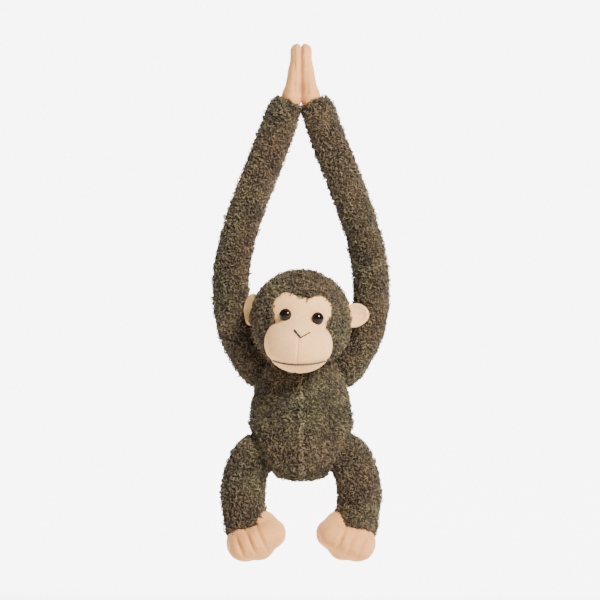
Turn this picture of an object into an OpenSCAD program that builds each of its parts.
// Hanging plush monkey: four long limbs and a head sewn to a stuffed body, with
// palms that close over a branch. Millimetres, +Z up, the toy looks along -Y.
// The origin is the grip: the point under the joined palms that rests on a branch.
// left and right are the toy's own, so left is +X.

/* [Body] */
// Greatest radius of the round belly
belly_r = 50; // [46:1:54]
// Height of the widest ring of the belly
belly_z = -297; // [-302:1:-292]
// From the widest ring down to the seat
seat_drop = 46; // [42:1:50]
// From the widest ring up to where the egg would close, above the neck
chest_rise = 95; // [85:1:105]
// Where the body is cut for the neck
neck_z = -228; // [-232:1:-224]
// How much flatter than round the body is, front and back
body_flat = 8; // [4:1:10]
// Middle of the body, front to back
body_y = -8; // [-12:1:-6]
// Thickness of the pile fabric and its backing
skin_t = 1.2; // [0.8:0.1:2]

/* [Head] */
// Radius of the head
head_r = 46.5; // [44:0.5:47]
// Height of the middle of the head
head_z = -186; // [-188:1:-184]
// Middle of the head, front to back
head_y = -25; // [-28:1:-23]
// Sideways lean of the head, towards the toy's left
head_roll = 6.5; // [0:0.5:8]
// Width of the crown strip between the two side panels
crown_w = 34; // [24:2:44]
// Distance between the eyes
eye_gap = 29.6; // [26:0.2:34]
// Diameter of the safety eyes
eye_d = 12; // [9:0.5:14]
// Radius of each half of the muzzle
muzzle_r = 23; // [21:0.5:24]
// Height of the mouth line under the middle of the head
mouth_drop = 41; // [38:0.5:43]
// Radius of the round ears
ear_r = 15; // [12:0.5:17]
// Length of each stroke of the nose, to the side
nose_w = 7; // [5:0.5:9]

/* [Arms] */
// Radius of the stuffed arm
arm_r = 16.5; // [15:0.5:17]
// How far out the arm bows
bow_x = 68; // [66:1:70]
// Height at which the arm bows out furthest
bow_z = -162; // [-164:1:-160]
// Bend radius of the arm below that height
lower_bend_r = 115; // [112:1:118]
// Turn of the arm below that height, in degrees
lower_turn = 40; // [38:1:41]
// Bend radius of the arm above that height
upper_bend_r = 216; // [210:1:222]
// Turn of the arm above that height, and lean of the straight forearm
forearm_lean = 20.5; // [20:0.5:21]
// Length of the straight forearm
forearm_len = 118; // [112:1:120]
// Most that the elbow folds, in degrees
elbow_max = 75; // [45:5:80]

/* [Hands] */
// Height of the finger tips over the grip
tip_z = 81; // [76:1:84]
// Radius of the hook and loop patches
patch_r = 9; // [7:0.5:10]
// Height of the patches over the grip
patch_z = 52; // [48:1:56]

/* [Legs] */
// Radius of the stuffed leg
leg_r = 20; // [18:0.5:21]
// Hip, from the middle of the body to the side
hip_x = 42; // [41:0.5:43]
// Height of the hip
hip_z = -313; // [-315:1:-311]
// Hips and legs, front to back
leg_y = -12; // [-14:1:-10]
// Height at which the leg bows out furthest
knee_z = -350; // [-352:1:-348]
// How far out the leg bows from the hip
knee_out = 14; // [13:0.5:15]
// Height of the ankle
ankle_z = -386; // [-388:1:-384]
// How far the ankle comes back in from the knee
ankle_in = 4; // [3:0.5:5]
// How much higher the inner edge of each foot stands than the outer, in degrees
foot_roll = 25; // [15:1:30]
// From the ankle down to the middle of the toes
foot_drop = 13.8; // [13:0.2:15]
// Most that a foot tips up or down, in degrees
ankle_max = 20; // [10:1:22]

/* [Hidden] */
SIDES = [1, -1];

$fn = 64;
facets = 20;          // round a hull's own spheres
gap = 0.3;            // between a skin and what fills it
fit = 0.5;            // between pieces that turn against each other
thread_r = 0.6;
big = 600;

pile = [0.33, 0.29, 0.21];
plush = [0.93, 0.78, 0.62];
filling = [0.95, 0.95, 0.93];
thread = [0.12, 0.09, 0.07];

head_at = [0, head_y, head_z];
neck_shell = head_r + fit + thread_r;           // ball that carries the neck's thread
neck_half = 20;                                 // half the angle that the neck seam spans
neck_lean = 12;                                 // how far back it sits, clear of the muzzle
head_socket_r = neck_shell + thread_r + fit;

shoulder = [bow_x - lower_bend_r * (1 - cos(lower_turn)), 0, bow_z - lower_bend_r * sin(lower_turn)];
elbow = [bow_x - upper_bend_r * (1 - cos(forearm_lean)), 0, bow_z + upper_bend_r * sin(forearm_lean)];
wrist = elbow + forearm_len * [-sin(forearm_lean), 0, cos(forearm_lean)];
shoulder_ring_r = arm_r + fit + thread_r;
shoulder_socket_r = shoulder_ring_r + thread_r + fit;

hip = [hip_x, leg_y, hip_z];
knee_x = hip_x + knee_out;
thigh_turn = 2 * atan(knee_out / (hip_z - knee_z));
thigh_r = (hip_z - knee_z) / sin(thigh_turn);
shin_turn = 2 * atan(ankle_in / (knee_z - ankle_z));
shin_r = (knee_z - ankle_z) / sin(shin_turn);
ankle = [knee_x - ankle_in, leg_y, ankle_z];
hip_ring_r = leg_r + fit + thread_r;
hip_socket_r = hip_ring_r + thread_r + fit;
root_angle = 45;                                // half the angle that a limb's seam spans

palm_x = 1.2;                                   // the palms stand this far from the middle
hand_root_r = 11;
ankle_root_r = 16;

muzzle_half_x = 9.5;
muzzle_y = -37;
muzzle_z = -28;
eye_z = 3.6;
stem_r = 1.8;
stem_len = 9;
washer_r = 6.5;
washer_t = 1.5;
washer_at = 4;

fill_r = arm_r - skin_t - gap;
fold_back = fill_r / cos(elbow_max / 2) + fit;   // where each filling rounds off before the elbow

// ---------- shared shapes ----------

// Shows a limb part on the toy's left or, mirrored, on its right
module on_side(s) {
    if (s > 0) children();
    else mirror([1, 0, 0]) children();
}

// An egg cut flat at the neck, round about an upright axis
module egg(grow) {
    steps = 9;
    r = belly_r + grow;
    down = seat_drop + grow;
    up = chest_rise + grow;
    top = neck_z + grow - belly_z;
    seat = [for (i = [0 : steps]) [r * sin(90 * i / steps), -down * cos(90 * i / steps)]];
    last = asin(top / up);
    chest = [for (i = [1 : steps]) [r * cos(last * i / steps), up * sin(last * i / steps)]];
    translate([0, 0, belly_z])
        rotate_extrude() polygon(concat(seat, chest, [[0, top]]));
}

// The front or back of the body is part of an egg whose axis is off the middle, so the two
// meet at a seam along each side
module body_half(back, grow) {
    translate([0, body_y + (back ? -body_flat : body_flat), 0]) egg(grow);
}

// A round bar from a point, along a direction
module bar(from, along, r, len) {
    d = along / norm(along);
    translate(from) rotate([0, acos(d[2]), atan2(d[1], d[0])]) cylinder(r = r, h = len);
}

// Sockets for the head and limbs, and the room that a limb needs as it swings down
module body_sockets() {
    translate(head_at) sphere(head_socket_r);
    for (s = SIDES) on_side(s) {
        translate(shoulder) sphere(shoulder_socket_r);
        bar(shoulder, [cos(60), 0.1, -sin(60)], arm_r + fit, 60);
        translate(hip) sphere(hip_socket_r);
        bar(hip, [0.4, -0.3, -1], leg_r + 2 * fit, 60);
        bar(hip, [0.5, -0.8, -0.3], leg_r + 2 * fit, 60);
    }
}

// Points along a bend in the XZ plane, from one angle to another
function bend(out_x, y, mid_z, bend_r, from, to, steps) = [
    for (i = [0 : steps])
        let (a = from + (to - from) * i / steps)
            [out_x - bend_r * (1 - cos(a)), y, mid_z + bend_r * sin(a)]
];

// A stuffed tube of fabric that follows points, round at both ends
module tube(points, r) {
    for (i = [1 : len(points) - 1]) hull() {
        translate(points[i - 1]) sphere(r, $fn = facets);
        translate(points[i]) sphere(r, $fn = facets);
    }
}

// Everything past a point of a limb, along a lean from upright
module beyond(at, lean) {
    translate(at) rotate([0, lean, 0]) translate([-big / 2, -big / 2, 0]) cube(big);
}

// ---------- body ----------

module torso_panel(side, back) {
    color(pile) difference() {
        intersection() {
            body_half(back, 0);
            translate([side > 0 ? 0 : -big, back ? body_y : body_y - big, -big]) cube(big);
        }
        body_half(back, -skin_t);
        body_sockets();
    }
}

module torso_stuffing() {
    color(filling) difference() {
        intersection() {
            body_half(false, -skin_t - gap);
            body_half(true, -skin_t - gap);
        }
        body_sockets();
    }
}

// A blank folded tape, caught in the seam under the back
module sewn_in_label() {
    tape_w = 14;
    tape_len = 20;
    below = 22;                                  // from the belly's widest ring to the tape
    back_y = body_y - body_flat + belly_r * cos(asin(below / seat_drop));
    color("white")
        translate([-tape_w / 2, back_y + gap, belly_z - below - tape_len]) cube([tape_w, 0.6, tape_len]);
}

// ---------- neck and head ----------

// A closed ring of thread on a ball: half is the angle it spans from the ball's own -Z
module thread_on_ball(ball_r, half) {
    translate([0, 0, -ball_r * cos(half)])
        rotate_extrude() translate([ball_r * sin(half), 0]) circle(thread_r, $fn = 16);
}

// The gathering thread on which the head turns and nods
module neck_seam_thread() {
    color(thread) translate(head_at) rotate([neck_lean, 0, 0]) thread_on_ball(neck_shell, neck_half);
}

module in_head() {
    translate(head_at) rotate([0, head_roll, 0]) children();
}

// The two round lobes of the face around the eyes, as seen from the front
module mask_outline(grow) {
    lobe_r = 14 + grow;
    for (s = SIDES) translate([s * (eye_gap / 2 - 0.5), 11]) circle(lobe_r);
    translate([-25.5 - grow, -24]) square([51 + 2 * grow, 37]);
}

module face_prism(grow) {
    rotate([90, 0, 0]) linear_extrude(2 * head_r) mask_outline(grow);
}

function muzzle_half(s) = [s * muzzle_half_x, muzzle_y, muzzle_z];

module muzzle_form(r) {
    for (s = SIDES) translate(muzzle_half(s)) sphere(r);
}

// A thin shell lifted from the muzzle, for what is stitched on it
module muzzle_surface() {
    difference() {
        muzzle_form(muzzle_r + 0.6);
        muzzle_form(muzzle_r + 0.02);
    }
}

module head_shell() {
    difference() {
        sphere(head_r);
        sphere(head_r - skin_t);
    }
}

module head_side_panel(s) {
    color(pile) in_head() difference() {
        head_shell();
        face_prism(0);
        muzzle_form(muzzle_r);
        if (s > 0) translate([crown_w / 2 - big, -big / 2, -big / 2]) cube(big);
        else translate([-crown_w / 2, -big / 2, -big / 2]) cube(big);
    }
}

module head_crown_strip() {
    color(pile) in_head() difference() {
        intersection() {
            head_shell();
            translate([-crown_w / 2, -big / 2, -big / 2]) cube([crown_w, big, big]);
        }
        face_prism(0);
        muzzle_form(muzzle_r);
    }
}

// Out along the eye's axis, which stands square on the head
module at_eye(s) {
    x = s * eye_gap / 2;
    y = -sqrt(pow(head_r, 2) - pow(x, 2) - pow(eye_z, 2));
    translate([x, y, eye_z])
        rotate([90, 0, 0]) rotate([asin(-eye_z / head_r), asin(x / head_r), 0]) children();
}

module eye_stem_room() {
    translate([0, 0, -stem_len - 1]) cylinder(r = stem_r + gap, h = stem_len + 6);
    translate([0, 0, -washer_at - washer_t - 0.5]) cylinder(r = washer_r + gap, h = 2 * washer_t + 0.5);
}

module head_stuffing() {
    color(filling) in_head() difference() {
        sphere(head_r - skin_t - gap);
        for (s = SIDES) at_eye(s) eye_stem_room();
    }
}

module eye_mask() {
    color(plush) in_head() difference() {
        intersection() {
            head_shell();
            face_prism(-0.05);
        }
        muzzle_form(muzzle_r + 0.05);
        for (s = SIDES) at_eye(s) translate([0, 0, -5]) cylinder(r = stem_r + gap, h = 10);
    }
}

// Dome, rim and stem of one safety eye
module eye(s) {
    dome_r = eye_d / 2;
    color("black") in_head() at_eye(s) {
        translate([0, 0, 0.4]) intersection() {
            sphere(dome_r);
            translate([-dome_r, -dome_r, 0]) cube(2 * dome_r);
        }
        translate([0, 0, -stem_len]) cylinder(r = stem_r, h = stem_len + 1);
    }
}

module eye_washer(s) {
    color("white") in_head() at_eye(s) difference() {
        translate([0, 0, -washer_at - 1]) cylinder(r = washer_r, h = washer_t);
        translate([0, 0, -stem_len]) cylinder(r = stem_r + 0.05, h = stem_len + 4);
    }
}

module muzzle_panel(s) {
    color(plush) in_head() difference() {
        intersection() {
            translate(muzzle_half(s)) rotate([90, 0, 0]) sphere(muzzle_r);
            translate([s > 0 ? 0 : -big, -big, -mouth_drop]) cube(big);
        }
        translate(muzzle_half(s)) rotate([90, 0, 0]) sphere(muzzle_r - skin_t);
        sphere(head_r - skin_t);
    }
}

module chin_panel() {
    color(plush) in_head() difference() {
        intersection() {
            muzzle_form(muzzle_r);
            translate([-big / 2, -big, -mouth_drop - big]) cube(big);
        }
        muzzle_form(muzzle_r - skin_t);
        sphere(head_r - skin_t);
    }
}

module muzzle_stuffing() {
    color(filling) in_head() difference() {
        muzzle_form(muzzle_r - skin_t - gap);
        sphere(head_r - skin_t);
    }
}

// Two stitches that meet in a shallow V
module nose_stitches() {
    up = -8.6;
    down = -14.8;
    bold = 1.1;
    color(thread) in_head() intersection() {
        muzzle_surface();
        translate([1, 0, 0]) rotate([90, 0, 0]) translate([0, 0, head_r]) linear_extrude(head_r)
            polygon([
                [-nose_w, up], [0, down + bold], [nose_w, up],
                [nose_w + bold / 2, up - bold], [0, down - bold / 2], [-nose_w - bold, up - bold]
            ]);
    }
}

module mouth_stitches() {
    color(thread) in_head() intersection() {
        muzzle_surface();
        translate([-big / 2, muzzle_y - 5 - big, -mouth_drop - 0.5]) cube([big, big, 1]);
    }
}

// One layer of a cupped ear, from depth a to depth b of the cup
module ear_layer(s, a, b) {
    cup_r = 32;
    color(plush) in_head() difference() {
        translate([s * (head_r + 4), -4, 6]) rotate([0, 0, s * 12])
            intersection() {
                translate([0, -cup_r, 0]) difference() {
                    sphere(cup_r + b);
                    sphere(cup_r + a);
                }
                rotate([90, 0, 0]) translate([0, 0, -10]) cylinder(r = ear_r, h = 20);
            }
        sphere(head_r + gap);
    }
}

// ---------- arms ----------

// The ring of thread that joins an arm to the body, deep in its socket
module shoulder_seam_thread() {
    color(thread) translate(shoulder) rotate([0, 90, 0]) thread_on_ball(shoulder_ring_r, root_angle);
}

upper_arm_path = concat(
    bend(bow_x, 0, bow_z, lower_bend_r, -lower_turn, 0, 3),
    bend(bow_x, 0, bow_z, upper_bend_r, forearm_lean / 2, forearm_lean / 2, 1)
);

// The fabric tube of the whole arm; its cuffs are pressed flat against each other
module arm_sleeve() {
    cuff_gap = 0.3;
    path = concat(upper_arm_path, [elbow, wrist]);
    color(pile) difference() {
        tube(path, arm_r);
        tube(path, arm_r - skin_t);
        beyond(wrist, -forearm_lean);
        translate([cuff_gap - big, -big / 2, -60]) cube(big);
    }
    color(pile) intersection() {
        difference() {
            tube([elbow, wrist], arm_r);
            beyond(wrist, -forearm_lean);
        }
        translate([cuff_gap, -big / 2, -60]) cube([skin_t, big, big]);
    }
}

module upper_arm_stuffing() {
    before = upper_arm_path[len(upper_arm_path) - 1] - elbow;
    color(filling) tube(concat(upper_arm_path, [elbow + fold_back * before / norm(before)]), fill_r);
}

module forearm_stuffing() {
    up = [-sin(forearm_lean), 0, cos(forearm_lean)];
    hand_room = 6;
    color(filling) difference() {
        tube([elbow + fold_back * up, wrist], fill_r);
        translate(wrist) sphere(hand_root_r + fit);
        beyond(wrist - hand_room * up, -forearm_lean);
        translate([skin_t + 2 * gap - big, -big / 2, -60]) cube(big);
    }
}

// ---------- hands ----------

// A flat mitten that stands on a ball in the cuff, palm towards the middle
module hand_form(grow) {
    finger_r = 5.5;
    heel_r = 8.5;
    heel_z = 36;
    finger_x = palm_x + finger_r - 0.9;
    heel_x = palm_x + heel_r + 0.5;
    intersection() {
        union() {
            hull() {
                for (y = [-9, 9]) translate([finger_x, y, tip_z - finger_r - 8])
                    sphere(finger_r + grow, $fn = facets);
                for (y = [-4, 4]) translate([finger_x, y, tip_z - finger_r])
                    sphere(finger_r + grow, $fn = facets);
                for (y = [-6, 6]) translate([heel_x, y, heel_z]) sphere(heel_r + grow, $fn = facets);
            }
            hull() {
                for (y = [-6, 6]) translate([heel_x, y, heel_z]) sphere(heel_r + grow, $fn = facets);
                translate(wrist) sphere(hand_root_r + grow, $fn = facets);
            }
        }
        translate([palm_x - grow, -big / 2, -big / 2]) cube(big);
    }
}

// Splits a hand along the seam between palm and back
module palm_side(keep) {
    seam_x = palm_x + 5;
    translate([keep ? seam_x - big : seam_x, -big / 2, -big / 2]) cube(big);
}

module hand_panel(palm) {
    color(plush) intersection() {
        difference() {
            hand_form(0);
            hand_form(-skin_t);
        }
        palm_side(palm);
    }
}

module hand_stuffing() {
    color(filling) hand_form(-skin_t - gap);
}

// Half of the hook-and-loop closure
module closure_patch() {
    inner_x = 0.2;
    color("white")
        translate([inner_x, 0, patch_z]) rotate([0, 90, 0])
            cylinder(r = patch_r, h = palm_x - inner_x - 0.05);
}

// ---------- legs ----------

module hip_seam_thread() {
    color(thread) translate(hip) rotate([0, 90, 0]) thread_on_ball(hip_ring_r, root_angle);
}

leg_path = concat(
    bend(knee_x, leg_y, knee_z, thigh_r, thigh_turn, 0, 3),
    [ankle]
);

module leg_sleeve() {
    color(pile) difference() {
        tube(leg_path, leg_r);
        tube(leg_path, leg_r - skin_t);
        beyond(ankle, 180 + shin_turn);
    }
}

module leg_stuffing() {
    color(filling) difference() {
        tube(leg_path, leg_r - skin_t - gap);
        translate(ankle) sphere(ankle_root_r + fit);
        beyond(ankle, 180 + shin_turn);
    }
}

// ---------- feet ----------

toe_r = 13.5;
sole_edge = -4.5;                                // the sole's seam is this far under the toes' middle

// Places what is drawn about the toes' middle
module in_foot() {
    translate(ankle) rotate([0, foot_roll, 0]) translate([-3.5, 0, -foot_drop]) children();
}

// The hollow over a foot that the leg's cuff needs as the foot tips
module cuff_room(grow) {
    slope = tan(ankle_max + 1);
    room_r = leg_r + fit - grow;
    room_h = 40;
    translate(ankle + [0, 0, grow]) rotate_extrude() polygon([
        [0, 0], [room_r, -room_r * slope], [room_r + room_h * slope, room_h], [0, room_h]
    ]);
}

// A broad foot with its toes forward, on a ball in the leg's cuff
module foot_form(grow) {
    heel_r = 14;
    difference() {
        in_foot() hull() {
            for (x = [-6, 6]) translate([x, 4, 0]) sphere(heel_r + grow, $fn = facets);
            for (x = [-15.5, 15.5]) translate([x, -25, 0]) sphere(toe_r + grow, $fn = facets);
            translate([0, -29, 0]) sphere(toe_r + grow, $fn = facets);
            translate([0, -16, 6]) sphere(toe_r + grow, $fn = facets);
        }
        cuff_room(grow);
    }
    translate(ankle) sphere(ankle_root_r + grow, $fn = facets);
}

module foot_part(lower) {
    color(plush) intersection() {
        difference() {
            foot_form(0);
            foot_form(-skin_t);
        }
        in_foot() translate([-big / 2, -big / 2, sole_edge - (lower ? big : 0)]) cube(big);
    }
}

module foot_stuffing() {
    color(filling) foot_form(-skin_t - gap);
}

// Three short rows of thread that draw the toes in
module toe_stitches() {
    row_w = 0.8;
    row_len = 10;
    color(thread) intersection() {
        difference() {
            foot_form(0.6);
            foot_form(0.02);
        }
        in_foot() for (x = [-12, 0, 12]) translate([x - row_w / 2, -60, 0]) cube([row_w, 29, row_len]);
    }
}

torso_panel(1, false);  // torso_front_left
torso_panel(-1, false);  // torso_front_right
torso_panel(1, true);  // torso_back_left
torso_panel(-1, true);  // torso_back_right
torso_stuffing();
sewn_in_label();
neck_seam_thread();
head_side_panel(1);  // head_left_panel
head_side_panel(-1);  // head_right_panel
head_crown_strip();
head_stuffing();
eye_mask();
muzzle_panel(1);  // muzzle_left_panel
muzzle_panel(-1);  // muzzle_right_panel
chin_panel();
muzzle_stuffing();
eye(1);  // left_eye
eye(-1);  // right_eye
eye_washer(1);  // left_eye_washer
eye_washer(-1);  // right_eye_washer
nose_stitches();
mouth_stitches();
ear_layer(1, 0, 1.5);  // left_ear_front
ear_layer(1, 1.6, 3.1);  // left_ear_back
ear_layer(-1, 0, 1.5);  // right_ear_front
ear_layer(-1, 1.6, 3.1);  // right_ear_back
on_side(1) shoulder_seam_thread();  // left_shoulder_seam_thread
on_side(-1) shoulder_seam_thread();  // right_shoulder_seam_thread
on_side(1) arm_sleeve();  // left_arm_sleeve
on_side(-1) arm_sleeve();  // right_arm_sleeve
on_side(1) upper_arm_stuffing();  // left_upper_arm_stuffing
on_side(-1) upper_arm_stuffing();  // right_upper_arm_stuffing
on_side(1) forearm_stuffing();  // left_forearm_stuffing
on_side(-1) forearm_stuffing();  // right_forearm_stuffing
on_side(1) hand_panel(true);  // left_hand_palm
on_side(-1) hand_panel(true);  // right_hand_palm
on_side(1) hand_panel(false);  // left_hand_back
on_side(-1) hand_panel(false);  // right_hand_back
on_side(1) hand_stuffing();  // left_hand_stuffing
on_side(-1) hand_stuffing();  // right_hand_stuffing
on_side(1) closure_patch();  // left_hook_patch
on_side(-1) closure_patch();  // right_loop_patch
on_side(1) hip_seam_thread();  // left_hip_seam_thread
on_side(-1) hip_seam_thread();  // right_hip_seam_thread
on_side(1) leg_sleeve();  // left_leg_sleeve
on_side(-1) leg_sleeve();  // right_leg_sleeve
on_side(1) leg_stuffing();  // left_leg_stuffing
on_side(-1) leg_stuffing();  // right_leg_stuffing
on_side(1) foot_part(false);  // left_foot_upper
on_side(-1) foot_part(false);  // right_foot_upper
on_side(1) foot_part(true);  // left_foot_sole
on_side(-1) foot_part(true);  // right_foot_sole
on_side(1) foot_stuffing();  // left_foot_stuffing
on_side(-1) foot_stuffing();  // right_foot_stuffing
on_side(1) toe_stitches();  // left_toe_stitches
on_side(-1) toe_stitches();  // right_toe_stitches
